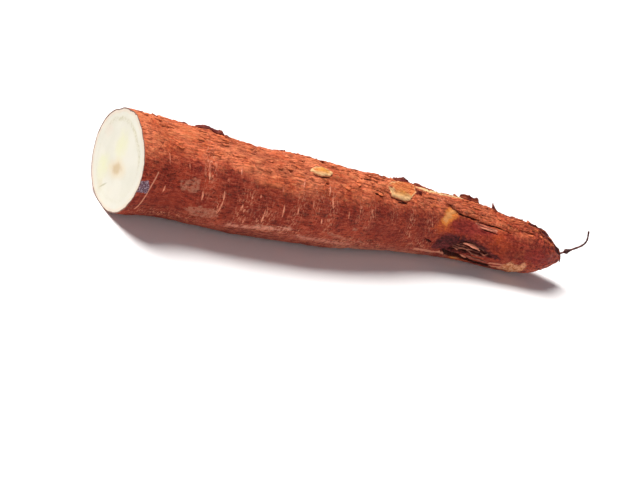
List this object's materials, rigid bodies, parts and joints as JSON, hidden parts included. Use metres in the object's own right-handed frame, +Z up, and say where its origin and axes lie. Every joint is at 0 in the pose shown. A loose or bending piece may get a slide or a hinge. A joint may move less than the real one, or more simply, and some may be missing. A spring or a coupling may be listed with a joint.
{
  "type": "cassava root",
  "caption": "Whole cassava root lying on its side: tapered flaky orange-brown bark, a pale knife-cut end face, a torn hollow near the blunt tip and a wiry tail rootlet.",
  "frame": {"origin": "middle of the footprint, on the plane of the small flats that the root lies on", "axes": "+X along the root from the cut face to the tip, +Z up, -Y the side with the torn hollow"},
  "size_m": [0.347, 0.0616, 0.0567],
  "materials": {
    "bark": "matte dry flaking root bark, orange-brown, with a creamy white cut face at the thick end",
    "rootlet_bark": "matte dark red-brown root fibre"
  },
  "bodies": {
    "root": {"cassava_root": "bark", "tail_rootlet": "rootlet_bark"}
  },
  "joints": []
}
